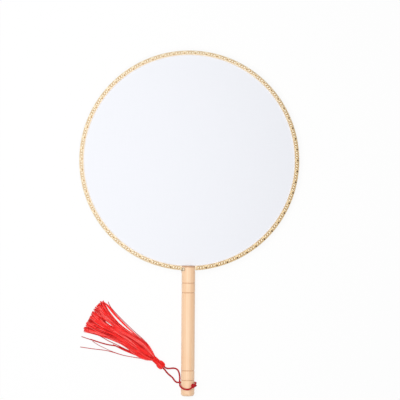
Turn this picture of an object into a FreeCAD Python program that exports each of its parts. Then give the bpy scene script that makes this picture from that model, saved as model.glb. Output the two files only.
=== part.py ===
# Round hand fan: a cloth face on a bent hoop, a gold braid edge, a turned handle and a red tassel.
# The fan lies on its back on a table. X runs across the face, Y from the handle's butt to the top
# of the face, Z up. The origin is under the middle of the fan, on the table. Millimetres.
import FreeCAD
import Part
import Sketcher
import math
import os

from FreeCAD import Placement, Rotation, Vector

doc = FreeCAD.newDocument("round_fan")

# Driving sizes, in millimetres and degrees
SIZES = {
    # Face
    "disc_diameter": 204.0,
    "hoop_width": 2.8,
    "hoop_thickness": 2.2,
    "hoop_bend": 3.4,
    "leg_length": 18.0,
    "leg_gap": 0.2,
    "cloth_thickness": 0.3,
    "braid_thickness": 0.7,
    "braid_width": 4.8,
    "braid_round": 0.6,
    # Handle
    "handle_diameter": 12.5,
    "handle_length": 120.4,
    "handle_overlap": 4.4,
    "head_chamfer": 0.5,
    "butt_round": 2.6,
    "groove_width": 1.0,
    "groove_depth": 0.35,
    "head_groove": 15.8,
    "butt_groove": 14.85,
    "groove_spacing": 8.85,
    "hole_diameter": 2.2,
    "hole_height": 12.6,
    # Cord
    "cord_diameter": 1.5,
    "knot_diameter": 3.2,
    "knot_length": 3.0,
    "knot_flat": 1.8,
    "knot_shoulder": 0.8,
    "tail_length": 3.2,
    # Tassel
    "tassel_reach": 22.7,
    "tassel_height": 26.5,
    "head_angle": 137.5,
    "head_diameter": 7.0,
    "head_flat_angle": 68.0,
    "neck_diameter": 3.5,
    "neck_reach": 9.2,
    "binding_diameter": 0.7,
    "binding_pitch": 1.15,
    "binding_turns": 4.0,
    "binding_start": 3.6,
    "skirt_angle": 144.8,
    "skirt_length": 70.0,
    "tie_width": 4.2,
    "tie_thickness": 4.2,
    "collar_at": 8.0,
    "collar_width": 11.2,
    "collar_thickness": 6.4,
    "shoulder_at": 18.0,
    "shoulder_width": 14.6,
    "shoulder_thickness": 6.2,
    "waist_at": 40.0,
    "waist_width": 15.2,
    "waist_thickness": 5.0,
    "flare_at": 55.0,
    "flare_width": 22.6,
    "flare_thickness": 3.8,
    "end_width": 33.2,
    "end_thickness": 2.6,
    # Clearances
    "slot_clearance": 0.1,
    "braid_clearance": 0.1,
    "handle_clearance": 0.2,
    "cord_clearance": 0.15,
    "binding_clearance": 0.05,
    "tassel_clearance": 0.3,
    "table_clearance": 0.2,
}

sheet = doc.addObject("Spreadsheet::Sheet", "sizes")
for row, (alias, value) in enumerate(SIZES.items(), start=1):
    sheet.set(f"A{row}", alias)
    sheet.set(f"B{row}", str(value))
    sheet.setAlias(f"B{row}", alias)
doc.recompute()

# Derived sizes, written as expressions on the sheet
DISC_RADIUS = "(sizes.disc_diameter / 2)"
HANDLE_RADIUS = "(sizes.handle_diameter / 2)"
OVERALL = "(sizes.disc_diameter + sizes.handle_length - sizes.handle_overlap)"
BUTT_Y = f"(-{OVERALL} / 2)"
DISC_Y = f"({OVERALL} / 2 - {DISC_RADIUS})"
RIM_RADIUS = f"({DISC_RADIUS} - sizes.braid_thickness - sizes.braid_clearance)"
FACE_HALF = "(sizes.hoop_thickness / 2 + sizes.cloth_thickness)"
HOOP_LINE = f"({RIM_RADIUS} - sizes.hoop_width / 2)"
LEG_X = "((sizes.hoop_width + sizes.leg_gap) / 2)"
BEND_X = f"({LEG_X} + sizes.hoop_bend)"
BEND_Y = f"sqrt(({HOOP_LINE} + sizes.hoop_bend)^2 - {BEND_X}^2)"
LEG_END = f"({BEND_Y} + sizes.leg_length)"
SLOT_DEPTH = f"({BEND_Y} - {DISC_RADIUS} + sizes.handle_overlap + sizes.slot_clearance)"
HOLE_Y = f"({BUTT_Y} + sizes.hole_height)"


def number(expression):
    """The value of an expression on the sheet."""
    return float(sheet.evalExpression(expression))


def size(alias):
    """The value of one driving size."""
    return number(f"sizes.{alias}")


def flat_direction(degrees):
    """A level unit vector at an angle from +X towards +Y."""
    angle = math.radians(degrees)
    return Vector(math.cos(angle), math.sin(angle), 0)


# Sketch helpers
def new_body(label):
    body = doc.addObject("PartDesign::Body", label)
    body.Label = label
    return body


def new_sketch(body, name, role):
    """A sketch on one of the body's own origin planes."""
    plane = next(item for item in body.Origin.OriginFeatures if item.Role == role)
    sketch = body.newObject("Sketcher::SketchObject", name)
    sketch.AttachmentSupport = [(plane, "")]
    sketch.MapMode = "FlatFace"
    return sketch


def bind(sketch, constraint, expression):
    """Add a dimension to a sketch and tie it to an expression."""
    index = sketch.addConstraint(constraint)
    sketch.setExpression(f"Constraints[{index}]", expression)


def pin(sketch, edge, end, across, up):
    """Hold the end of a sketch edge at a place given by two expressions."""
    for kind, axis, expression in (("DistanceX", -2, across), ("DistanceY", -1, up)):
        if expression == "0":
            sketch.addConstraint(Sketcher.Constraint("PointOnObject", edge, end, axis))
        else:
            dimension = Sketcher.Constraint(kind, -1, 1, edge, end, number(expression))
            bind(sketch, dimension, expression)


def outline(sketch, corners):
    """A closed outline of straight edges through corners given as pairs of expressions."""
    points = [Vector(number(across), number(up), 0) for across, up in corners]
    count = len(points)
    for index, point in enumerate(points):
        sketch.addGeometry(Part.LineSegment(point, points[(index + 1) % count]))
    for index in range(count):
        sketch.addConstraint(Sketcher.Constraint("Coincident", index, 2, (index + 1) % count, 1))
    for index, (across, up) in enumerate(corners):
        pin(sketch, index, 1, across, up)


def box_outline(sketch, left, right, bottom, top):
    outline(sketch, [(left, bottom), (right, bottom), (right, top), (left, top)])


def revolve(body, sketch, kind, name):
    """Turn a sketch once round its own upright axis."""
    feature = body.newObject(f"PartDesign::{kind}", name)
    feature.Profile = sketch
    feature.ReferenceAxis = (sketch, ["V_Axis"])
    feature.Angle = 360
    return feature


def cut_both_ways(body, sketch, name, depth=None):
    """Pocket a sketch evenly to both sides, right through if no depth is given."""
    pocket = body.newObject("PartDesign::Pocket", name)
    pocket.Profile = sketch
    pocket.SideType = "Symmetric"
    if depth is None:
        pocket.Type = "ThroughAll"
    else:
        pocket.Type = "Length"
        pocket.setExpression("Length", depth)
    return pocket


def circle_edges(shape, keep):
    """Names of the round edges of a shape that a test keeps."""
    found = []
    for index, edge in enumerate(shape.Edges, start=1):
        if isinstance(edge.Curve, Part.Circle) and keep(edge.Curve):
            found.append(f"Edge{index}")
    return found


NEAR = 1e-4


# Handle: a turned stick, its axis along the body's own Y, its butt at the body's origin
def make_handle():
    body = new_body("handle")
    profile = new_sketch(body, "stick_profile", "XY_Plane")
    box_outline(profile, "0", HANDLE_RADIUS, "0", "sizes.handle_length")
    stick = revolve(body, profile, "Revolution", "stick")
    doc.recompute()

    butt = body.newObject("PartDesign::Fillet", "butt_rounding")
    butt.Base = (stick, circle_edges(stick.Shape, lambda ring: abs(ring.Center.y) < NEAR))
    butt.setExpression("Radius", "sizes.butt_round")
    doc.recompute()

    top = size("handle_length")
    head = body.newObject("PartDesign::Chamfer", "head_chamfer")
    head.Base = (butt, circle_edges(butt.Shape, lambda ring: abs(ring.Center.y - top) < NEAR))
    head.setExpression("Size", "sizes.head_chamfer")

    rings = new_sketch(body, "groove_sections", "XY_Plane")
    groove_radius = "((sizes.groove_width^2 / 4 + sizes.groove_depth^2) / (2 * sizes.groove_depth))"
    ring_x = f"({HANDLE_RADIUS} - sizes.groove_depth + {groove_radius})"
    first_head = "(sizes.handle_length - sizes.head_groove)"
    heights = [
        first_head,
        f"({first_head} - sizes.groove_spacing)",
        "sizes.butt_groove",
        "(sizes.butt_groove + sizes.groove_spacing)",
    ]
    for index, height in enumerate(heights):
        centre = Vector(number(ring_x), number(height), 0)
        rings.addGeometry(Part.Circle(centre, Vector(0, 0, 1), number(groove_radius)))
        bind(rings, Sketcher.Constraint("Radius", index, number(groove_radius)), groove_radius)
        pin(rings, index, 3, ring_x, height)
    revolve(body, rings, "Groove", "ring_grooves")

    saw = new_sketch(body, "slot_section", "YZ_Plane")
    slot_half = f"({FACE_HALF} + sizes.slot_clearance)"
    slot_floor = f"(sizes.handle_length - {SLOT_DEPTH})"
    box_outline(saw, slot_floor, "sizes.handle_length", f"-{slot_half}", slot_half)
    cut_both_ways(body, saw, "face_slot")

    legs = new_sketch(body, "mortise_section", "XY_Plane")
    mortise_half = f"({LEG_X} + sizes.hoop_width / 2 + sizes.slot_clearance)"
    mortise_floor = f"({slot_floor} - sizes.leg_length)"
    box_outline(legs, f"-{mortise_half}", mortise_half, mortise_floor, "sizes.handle_length")
    cut_both_ways(body, legs, "leg_mortise", "sizes.hoop_thickness + 2 * sizes.slot_clearance")

    drill = new_sketch(body, "hole_section", "YZ_Plane")
    hole_radius = "(sizes.hole_diameter / 2)"
    centre = Vector(size("hole_height"), 0, 0)
    drill.addGeometry(Part.Circle(centre, Vector(0, 0, 1), number(hole_radius)))
    bind(drill, Sketcher.Constraint("Radius", 0, number(hole_radius)), hole_radius)
    pin(drill, 0, 3, "sizes.hole_height", "0")
    cut_both_ways(body, drill, "cord_hole")

    body.setExpression("Placement.Base.y", BUTT_Y)
    body.setExpression("Placement.Base.z", HANDLE_RADIUS)
    return body


def place_on_disc(item):
    """Put a piece of the face, drawn about its own centre, where the face is."""
    item.setExpression("Placement.Base.y", DISC_Y)
    item.setExpression("Placement.Base.z", HANDLE_RADIUS)


# Hoop: one strip, bent in a circle, whose two ends turn down side by side into the handle
def make_hoop():
    body = new_body("hoop")
    line_radius = number(HOOP_LINE)
    bend_radius = size("hoop_bend")
    leg_x = number(LEG_X)
    bend = Vector(number(BEND_X), -number(BEND_Y), 0)
    leg_end = -number(LEG_END)
    lean = math.atan2(bend.x, -bend.y)
    up = Vector(0, 0, 1)

    path = new_sketch(body, "strip_line", "XY_Plane")
    mirrored = Vector(-bend.x, bend.y, 0)
    quarter = math.pi / 2
    hoop_circle = Part.Circle(Vector(0, 0, 0), up, line_radius)
    left_bend = Part.Circle(mirrored, up, bend_radius)
    right_bend = Part.Circle(bend, up, bend_radius)
    path.addGeometry(Part.LineSegment(Vector(-leg_x, leg_end, 0), Vector(-leg_x, bend.y, 0)))
    path.addGeometry(Part.ArcOfCircle(left_bend, 0, quarter - lean))
    path.addGeometry(Part.ArcOfCircle(hoop_circle, lean - quarter, 3 * quarter - lean))
    path.addGeometry(Part.ArcOfCircle(right_bend, quarter + lean, math.pi))
    path.addGeometry(Part.LineSegment(Vector(leg_x, bend.y, 0), Vector(leg_x, leg_end, 0)))
    for pair in ((0, 2, 1, 1), (1, 2, 2, 2), (2, 1, 3, 1), (3, 2, 4, 1)):
        path.addConstraint(Sketcher.Constraint("Tangent", *pair))
    path.addConstraint(Sketcher.Constraint("Coincident", 2, 3, -1, 1))
    bind(path, Sketcher.Constraint("Radius", 2, line_radius), HOOP_LINE)
    bind(path, Sketcher.Constraint("Radius", 1, bend_radius), "sizes.hoop_bend")
    bind(path, Sketcher.Constraint("Radius", 3, bend_radius), "sizes.hoop_bend")
    pin(path, 0, 1, f"-{LEG_X}", f"-{LEG_END}")
    pin(path, 4, 2, LEG_X, f"-{LEG_END}")
    path.addConstraint(Sketcher.Constraint("Vertical", 0))
    path.addConstraint(Sketcher.Constraint("Vertical", 4))

    section = new_sketch(body, "strip_section", "XZ_Plane")
    half_width = "(sizes.hoop_width / 2)"
    half_thick = "(sizes.hoop_thickness / 2)"
    left, right = f"(-{LEG_X} - {half_width})", f"(-{LEG_X} + {half_width})"
    box_outline(section, left, right, f"-{half_thick}", half_thick)
    section.setExpression("AttachmentOffset.Base.z", LEG_END)

    strip = body.newObject("PartDesign::AdditivePipe", "strip")
    strip.Profile = section
    strip.Spine = path
    place_on_disc(body)
    return body


# Cloth: one round piece on each side of the hoop
def make_cloth(label, low_side):
    cloth = doc.addObject("Part::Cylinder", label)
    cloth.Label = label
    cloth.setExpression("Radius", RIM_RADIUS)
    cloth.setExpression("Height", "sizes.cloth_thickness")
    cloth.setExpression("Placement.Base.y", DISC_Y)
    cloth.setExpression("Placement.Base.z", f"{HANDLE_RADIUS} + {low_side}")
    return cloth


# Braid: a ribbon folded over the rim, left open where the handle takes hold of it
def make_braid():
    body = new_body("edge_braid")
    section = new_sketch(body, "fold_section", "XZ_Plane")
    inner = f"({DISC_RADIUS} - sizes.braid_width)"
    fold = f"({DISC_RADIUS} - sizes.braid_thickness)"
    outer_half = f"({FACE_HALF} + sizes.braid_thickness)"
    outline(section, [
        (inner, f"-{outer_half}"),
        (DISC_RADIUS, f"-{outer_half}"),
        (DISC_RADIUS, outer_half),
        (inner, outer_half),
        (inner, FACE_HALF),
        (fold, FACE_HALF),
        (fold, f"-{FACE_HALF}"),
        (inner, f"-{FACE_HALF}"),
    ])
    ribbon = revolve(body, section, "Revolution", "ribbon")
    doc.recompute()

    radius = number(DISC_RADIUS)
    rounding = body.newObject("PartDesign::Fillet", "ribbon_rounding")
    rim = circle_edges(ribbon.Shape, lambda ring: abs(ring.Radius - radius) < NEAR)
    rounding.Base = (ribbon, rim)
    rounding.setExpression("Radius", "sizes.braid_round")

    gap = new_sketch(body, "handle_gap", "XY_Plane")
    gap_half = f"({HANDLE_RADIUS} + sizes.handle_clearance)"
    inner_edge = f"-({inner} - sizes.braid_width)"
    outer_edge = f"-({DISC_RADIUS} + sizes.braid_width)"
    box_outline(gap, f"-{gap_half}", gap_half, outer_edge, inner_edge)
    cut_both_ways(body, gap, "handle_opening")
    place_on_disc(body)
    return body


# Cord: straight runs joined by tangent arcs, as large as the runs allow
ARC_SHARE = 0.45


def cord_path(points):
    """The edges of a route through hand-chosen points, and the radii of its arcs."""
    edges, radii = [], []
    start = points[0]
    for before, corner, after in zip(points, points[1:], points[2:]):
        back = before - corner
        ahead = after - corner
        half_turn = (math.pi - back.getAngle(ahead)) / 2
        reach = ARC_SHARE * min(back.Length, ahead.Length)
        radii.append(reach / math.tan(half_turn))
        enter = corner + back.normalize() * reach
        leave = corner + ahead.normalize() * reach
        chord_middle = (enter + leave) / 2
        rise = math.cos(half_turn) / (1 + math.cos(half_turn))
        crest = chord_middle + (corner - chord_middle) * rise
        edges.append(Part.LineSegment(start, enter).toShape())
        edges.append(Part.Arc(enter, crest, leave).toShape())
        start = leave
    edges.append(Part.LineSegment(start, points[-1]).toShape())
    return edges, radii


def tube(label, edges, diameter):
    """A round tube along an unbroken line of edges, and the length of that line."""
    line = Part.Wire(edges)
    first = edges[0]
    ring = Part.makeCircle(diameter / 2, first.valueAt(first.FirstParameter), first.tangentAt(0))
    solid = line.makePipeShell([Part.Wire([ring])], True, False)
    feature = doc.addObject("Part::Feature", label)
    feature.Label = label
    feature.Shape = solid
    feature.Placement = Placement()
    ideal = math.pi * diameter**2 / 4 * line.Length
    print(f"{label}: length {line.Length:.1f} mm, volume {solid.Volume / ideal:.4f} of section x length")
    return feature


def make_cord(label, points):
    edges, radii = cord_path(points)
    feature = tube(label, edges, size("cord_diameter"))
    print("  arc radii", [round(radius, 1) for radius in radii])
    return feature


# Places on the cord that its routes share
hole = Vector(0, number(HOLE_Y), number(HANDLE_RADIUS))
wrap_radius = number(f"{HANDLE_RADIUS} + sizes.cord_diameter / 2 + sizes.cord_clearance")
to_cord = -flat_direction(size("head_angle"))
beside = to_cord.cross(Vector(0, 0, 1))
tassel_top = Vector(
    -size("tassel_reach"),
    number(f"{BUTT_Y} + sizes.tassel_height"),
    size("head_diameter") / 2,
)
strand_side = beside * (size("cord_diameter") / 2 + size("cord_clearance") / 2)
strand_gap = to_cord * size("cord_clearance")
upper_root = tassel_top - strand_side + strand_gap
lower_root = tassel_top + strand_side + strand_gap

# Straight lengths of the cord: out of the tassel, into the hole, in and out of the knot, and on either
# side of the place where the loop turns, which is a little below the hole on the handle's left side
TASSEL_RUN = 2.6
HOLE_CORNER_OUT = 0.45
HOLE_ENTRY = 2.8
KNOT_ENTRY = 2.4
KNOT_EXIT = 1.8
TURN_DROP = 2.0
TURN_ENTRY = 2.7
TURN_EXIT = 2.1
hole_bend_x = wrap_radius + HOLE_CORNER_OUT
hole_cut_x = hole_bend_x - HOLE_ENTRY
left_cut = Vector(-wrap_radius, hole.y - TURN_DROP, hole.z)
left_line = Vector(0, 0.47, -0.88).normalize()

# The knot sits on the right shoulder of the handle, and the cord goes through it along knot_line
KNOT_TURN = 48.5
KNOT_DROP = 2.8
knot_radius = number(f"{HANDLE_RADIUS} + sizes.knot_diameter / 2 + sizes.cord_clearance")
knot_angle = math.radians(KNOT_TURN)
knot_centre = hole + Vector(
    knot_radius * math.cos(knot_angle),
    -KNOT_DROP,
    knot_radius * math.sin(knot_angle),
)
knot_line = Vector(-0.6, -0.6, 0.53).normalize()
knot_in = knot_centre - knot_line * (size("knot_length") / 2)
knot_out = knot_centre + knot_line * (size("knot_length") / 2)

# Routes, chosen by hand: the free strands lie low over the table between the tassel and the handle
UPPER_STRAND = [
    upper_root,
    upper_root + to_cord * TASSEL_RUN,
    Vector(-17.2, -135.0, 2.3),
    Vector(-12.6, -134.5, 1.2),
    Vector(-9.4, -135.9, 0.9),
    Vector(-8.0, -138.9, 1.7),
    Vector(-7.4, -141.9, 3.2),
    Vector(-7.3, -144.8, 5.0),
    Vector(-hole_bend_x, hole.y, hole.z),
    Vector(-hole_cut_x, hole.y, hole.z),
]
HOLE_RUN = [
    Vector(-hole_cut_x, hole.y, hole.z),
    Vector(hole_bend_x, hole.y, hole.z),
    knot_in - knot_line * KNOT_ENTRY,
    knot_in,
]
FRONT_RUN = [
    knot_out,
    knot_out + knot_line * KNOT_EXIT,
    Vector(0.4, -153.5, 13.7),
    Vector(-4.2, -153.0, 12.6),
    left_cut - left_line * TURN_ENTRY,
    left_cut,
]
LOWER_STRAND = [
    left_cut,
    left_cut + left_line * TURN_EXIT,
    Vector(-7.9, -147.7, 2.55),
    Vector(-10.2, -147.9, 1.4),
    Vector(-12.4, -146.2, 1.0),
    Vector(-14.0, -143.4, 0.9),
    Vector(-17.0, -141.1, 1.4),
    Vector(-19.8, -138.3, 2.5),
    lower_root + to_cord * TASSEL_RUN,
    lower_root,
]


# Knot: a barrel on the cord, with its two cut tails
TAIL_LINES = {"tail_up": Vector(0.55, 0.75, 0.35), "tail_side": Vector(0.85, -0.1, 0.2)}


def make_knot():
    barrel = new_body("knot_barrel")
    section = new_sketch(barrel, "barrel_section", "XZ_Plane")
    end = "(sizes.knot_length / 2)"
    shoulder = f"({end} - sizes.knot_shoulder)"
    flat = "(sizes.knot_flat / 2)"
    full = "(sizes.knot_diameter / 2)"
    outline(section, [
        ("0", f"-{end}"),
        (flat, f"-{end}"),
        (full, f"-{shoulder}"),
        (full, shoulder),
        (flat, end),
        ("0", end),
    ])
    revolve(barrel, section, "Revolution", "barrel")
    up = Vector(0, 0, 1)
    barrel.Placement = Placement(knot_centre, Rotation(up, knot_line))
    pieces = [barrel]
    for name, line in TAIL_LINES.items():
        tail = doc.addObject("Part::Cylinder", name)
        tail.setExpression("Radius", "sizes.cord_diameter / 2")
        tail.setExpression("Height", "sizes.tail_length")
        tail.Placement = Placement(knot_centre, Rotation(up, line))
        pieces.append(tail)
    knot = doc.addObject("Part::MultiFuse", "cord_knot")
    knot.Label = "cord_knot"
    knot.Shapes = pieces
    return knot


# Tassel: a ball and neck, a thread wound round the neck, and a flared skirt lying on the table
head_top = number("sizes.head_diameter / 2 * sin(sizes.head_flat_angle)")
head_centre = tassel_top - to_cord * head_top
skirt_root = head_centre - to_cord * (size("neck_reach") + size("tassel_clearance"))


def make_tassel_head():
    ball = doc.addObject("Part::Sphere", "head_ball")
    ball.setExpression("Radius", "sizes.head_diameter / 2")
    ball.setExpression("Angle2", "sizes.head_flat_angle")
    neck = doc.addObject("Part::Cylinder", "head_neck")
    neck.setExpression("Radius", "sizes.neck_diameter / 2")
    neck.setExpression("Height", "sizes.neck_reach")
    neck.setExpression("Placement.Base.z", "-sizes.neck_reach")
    head = doc.addObject("Part::Fuse", "tassel_head")
    head.Label = "tassel_head"
    head.Base = ball
    head.Tool = neck
    head.Placement = Placement(head_centre, Rotation(Vector(0, 0, 1), to_cord))
    return head


def arc_from(start, towards, end):
    """The arc that leaves start towards a point and reaches end, equally far from that point."""
    half_turn = (math.pi - (start - towards).getAngle(end - towards)) / 2
    rise = math.cos(half_turn) / (1 + math.cos(half_turn))
    chord_middle = (start + end) / 2
    return Part.Arc(start, chord_middle + (towards - chord_middle) * rise, end).toShape()


def biarc(start, start_line, end, end_line):
    """Two arcs that join two places, each with the direction given there."""
    gap = end - start
    lines = start_line + end_line
    square = 2 * (1 - start_line.dot(end_line))
    along = gap.dot(lines)
    reach = (math.sqrt(along**2 + square * gap.dot(gap)) - along) / square
    leave = start + start_line * reach
    arrive = end - end_line * reach
    middle = (leave + arrive) / 2
    return [arc_from(start, leave, middle), arc_from(middle, arrive, end)]


def least_gap(points, neighbours, diameter):
    """The least gap of a wound tube to itself, leaving out points that follow each other closely."""
    nearest = min(
        (points[later] - points[first]).Length
        for first in range(len(points))
        for later in range(first + neighbours, len(points))
    )
    return nearest - diameter


QUARTERS = 4


def make_binding():
    wire = size("binding_diameter")
    radius = number("(sizes.neck_diameter + sizes.binding_diameter) / 2 + sizes.binding_clearance")
    pitch = size("binding_pitch")
    start = size("binding_start")
    steps = round(size("binding_turns") * QUARTERS)

    def place(step):
        turn = 2 * math.pi * step / QUARTERS
        height = -start - pitch * step / QUARTERS
        return Vector(radius * math.cos(turn), radius * math.sin(turn), height)

    def direction(step):
        turn = 2 * math.pi * step / QUARTERS
        rise = -pitch / (2 * math.pi)
        return Vector(-radius * math.sin(turn), radius * math.cos(turn), rise).normalize()

    entry = place(0) - direction(0) * wire
    leave = place(steps) + direction(steps) * wire
    edges = [Part.LineSegment(entry, place(0)).toShape()]
    for step in range(steps):
        edges += biarc(place(step), direction(step), place(step + 1), direction(step + 1))
    edges.append(Part.LineSegment(place(steps), leave).toShape())

    binding = tube("neck_binding", edges, wire)
    binding.Placement = Placement(head_centre, Rotation(Vector(0, 0, 1), to_cord))
    samples = 24
    points = [place(QUARTERS * index / samples) for index in range(steps * samples // QUARTERS)]
    print(f"neck_binding: least gap to itself {least_gap(points, samples // 2, wire):.2f} mm")
    return binding


SIDE_SHARE = 0.55


def skirt_section(body, name, station, width, floor, thickness):
    """One cross section of the skirt: flat underneath, upright sides and an arched top."""
    sketch = new_sketch(body, name, "YZ_Plane")
    sketch.setExpression("AttachmentOffset.Base.z", station)
    half = f"({width} / 2)"
    shoulder = f"({floor} + {thickness} * {SIDE_SHARE})"
    arch = f"({thickness} * {1 - SIDE_SHARE})"
    radius = f"(({half}^2 + {arch}^2) / (2 * {arch}))"
    bottom_left = Vector(-number(half), number(floor), 0)
    bottom_right = Vector(number(half), number(floor), 0)
    top_right = Vector(number(half), number(shoulder), 0)
    top_left = Vector(-number(half), number(shoulder), 0)
    centre = Vector(0, number(f"{shoulder} + {arch} - {radius}"), 0)
    spread = math.atan2(top_right.y - centre.y, top_right.x)
    crown = Part.Circle(centre, Vector(0, 0, 1), number(radius))
    sketch.addGeometry(Part.LineSegment(bottom_left, bottom_right))
    sketch.addGeometry(Part.LineSegment(bottom_right, top_right))
    sketch.addGeometry(Part.ArcOfCircle(crown, spread, math.pi - spread))
    sketch.addGeometry(Part.LineSegment(top_left, bottom_left))
    for edge in range(4):
        sketch.addConstraint(Sketcher.Constraint("Coincident", edge, 2, (edge + 1) % 4, 1))
    pin(sketch, 0, 1, f"-{half}", floor)
    pin(sketch, 1, 1, half, floor)
    pin(sketch, 2, 1, half, shoulder)
    pin(sketch, 3, 1, f"-{half}", shoulder)
    bind(sketch, Sketcher.Constraint("Radius", 2, number(radius)), radius)
    return sketch


def make_skirt():
    body = new_body("tassel_skirt")
    tie_floor = "(sizes.head_diameter / 2 - sizes.tie_thickness / 2)"
    lying = "sizes.table_clearance"
    stations = [("tie", "0", tie_floor)]
    stations += [(name, f"sizes.{name}_at", lying) for name in ("collar", "shoulder", "waist", "flare")]
    stations.append(("end", "sizes.skirt_length", lying))
    sections = [
        skirt_section(body, f"{name}_section", at, f"sizes.{name}_width", floor, f"sizes.{name}_thickness")
        for name, at, floor in stations
    ]
    loft = body.newObject("PartDesign::AdditiveLoft", "threads")
    loft.Profile = sections[0]
    loft.Sections = sections[1:]
    along = flat_direction(size("skirt_angle"))
    place = Vector(skirt_root.x, skirt_root.y, 0)
    body.Placement = Placement(place, Rotation(Vector(1, 0, 0), along))
    return body


pieces = [
    make_handle(),
    make_hoop(),
    make_cloth("front_cloth", "sizes.hoop_thickness / 2"),
    make_cloth("back_cloth", f"-{FACE_HALF}"),
    make_braid(),
    make_cord("cord_upper_strand", UPPER_STRAND),
    make_cord("cord_hole_run", HOLE_RUN),
    make_knot(),
    make_cord("cord_front_run", FRONT_RUN),
    make_cord("cord_lower_strand", LOWER_STRAND),
    make_tassel_head(),
    make_binding(),
    make_skirt(),
]
doc.recompute()

# Every object has to be sound before anything is written
faults = [item.Name for item in doc.Objects if {"Invalid", "Error"} & set(item.State)]
for piece in pieces:
    if piece.Shape.isNull() or not piece.Shape.isValid() or piece.Shape.Volume <= 0:
        faults.append(piece.Label)
if faults:
    raise RuntimeError(f"These did not come out right: {faults}")

os.makedirs("parts", exist_ok=True)
for piece in pieces:
    piece.Shape.exportStep(f"parts/{piece.Label}.step")
    box = piece.Shape.BoundBox
    print(
        f"{piece.Label}: {len(piece.Shape.Solids)} solid, {piece.Shape.Volume:.1f} mm3, "
        f"x {box.XMin:.2f} to {box.XMax:.2f}, y {box.YMin:.2f} to {box.YMax:.2f}, "
        f"z {box.ZMin:.2f} to {box.ZMax:.2f}"
    )
print("loop turns at", [round(value, 3) for value in left_cut])
print("tassel turns at", [round(value, 3) for value in tassel_top], "about", [round(v, 4) for v in beside])
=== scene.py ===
# %% [markdown]
# # A round hand fan
# The fan lies on its back: a white cloth face stretched over a bent hoop, a gold braid folded over the
# rim, a turned wooden handle, and a red tassel on a thin cord loop. The frame that is loaded here holds
# every piece at its real size, in metres. The wooden pieces of the frame stay and get a finish. What is
# soft, the cord, the cloth, the braid and the tassel, is modelled around the frame and takes its place.

# %% Load the frame
import math
import random

import bmesh
import bpy
from mathutils import Matrix, Vector


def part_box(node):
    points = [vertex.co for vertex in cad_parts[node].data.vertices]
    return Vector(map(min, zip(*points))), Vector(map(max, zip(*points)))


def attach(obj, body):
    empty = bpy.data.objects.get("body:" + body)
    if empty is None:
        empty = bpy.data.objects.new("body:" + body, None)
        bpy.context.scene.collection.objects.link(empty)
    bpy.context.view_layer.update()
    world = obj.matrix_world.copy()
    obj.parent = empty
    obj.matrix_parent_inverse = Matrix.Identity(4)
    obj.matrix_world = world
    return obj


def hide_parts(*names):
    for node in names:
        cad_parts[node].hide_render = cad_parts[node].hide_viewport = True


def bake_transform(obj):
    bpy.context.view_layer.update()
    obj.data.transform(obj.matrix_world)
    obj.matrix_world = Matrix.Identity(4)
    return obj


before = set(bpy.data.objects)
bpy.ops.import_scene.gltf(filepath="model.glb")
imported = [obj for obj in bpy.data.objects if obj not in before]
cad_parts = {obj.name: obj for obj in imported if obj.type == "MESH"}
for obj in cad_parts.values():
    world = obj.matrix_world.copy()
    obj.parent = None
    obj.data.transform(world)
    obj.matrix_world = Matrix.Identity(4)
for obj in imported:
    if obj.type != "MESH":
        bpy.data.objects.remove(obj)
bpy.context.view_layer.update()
MM = 0.001
scene = bpy.context.scene

# %% [markdown]
# ## Camera
# The picture is taken from straight above. A long lens far away keeps the disc round and the handle
# straight. The lens follows from how much of the face's plane the square picture spans, so the sizes in
# the picture stay right when the camera is moved up or down. The small turn is the handle's own lean.

# %% Camera
FACE_LOW, FACE_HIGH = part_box("front_cloth")
PICTURE_SPAN = 369.9 * MM
PICTURE_X, PICTURE_Y = 10.2 * MM, 21.5 * MM
PICTURE_TURN = math.radians(0.414)
CAMERA_HEIGHT = 2.0
SENSOR = 36.0

lens = bpy.data.cameras.new("camera")
lens.sensor_width = SENSOR
lens.lens = SENSOR * CAMERA_HEIGHT / PICTURE_SPAN
camera = bpy.data.objects.new("camera", lens)
camera.location = (PICTURE_X, PICTURE_Y, FACE_HIGH.z + CAMERA_HEIGHT)
camera.rotation_euler = (0, 0, PICTURE_TURN)
scene.collection.objects.link(camera)
scene.camera = camera
print(f"camera: {lens.lens:.1f} mm lens, {CAMERA_HEIGHT} m above the face")

# %% [markdown]
# ## A small kit for finishes
# A material in Blender is a graph of nodes, and a graph is hard to read as a list of links. Here one
# class wraps an output of a node, so that arithmetic on it adds the Math nodes, and another holds the
# material and adds any other node with its settings and inputs. A finish then reads like a formula.


# %% Finish kit
class Value:
    """One output of a shader node. Arithmetic on it adds Math nodes to the same material."""

    def __init__(self, finish, socket):
        self.finish = finish
        self.socket = socket

    def maths(self, operation, *terms):
        return self.finish.node("ShaderNodeMath", {"operation": operation}, dict(enumerate(terms)))

    def __add__(self, other):
        return self.maths("ADD", self, other)

    def __sub__(self, other):
        return self.maths("SUBTRACT", self, other)

    def __rsub__(self, other):
        return self.maths("SUBTRACT", other, self)

    def __mul__(self, other):
        return self.maths("MULTIPLY", self, other)

    __radd__ = __add__
    __rmul__ = __mul__

    def sine(self):
        return self.maths("SINE", self)

    def root(self):
        return self.maths("SQRT", self)

    def rise(self, low, high):
        """0 below low, 1 above high, and a smooth step between them."""
        settings = {"interpolation_type": "SMOOTHSTEP"}
        return self.finish.node("ShaderNodeMapRange", settings, {"Value": self, 1: low, 2: high})


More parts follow.
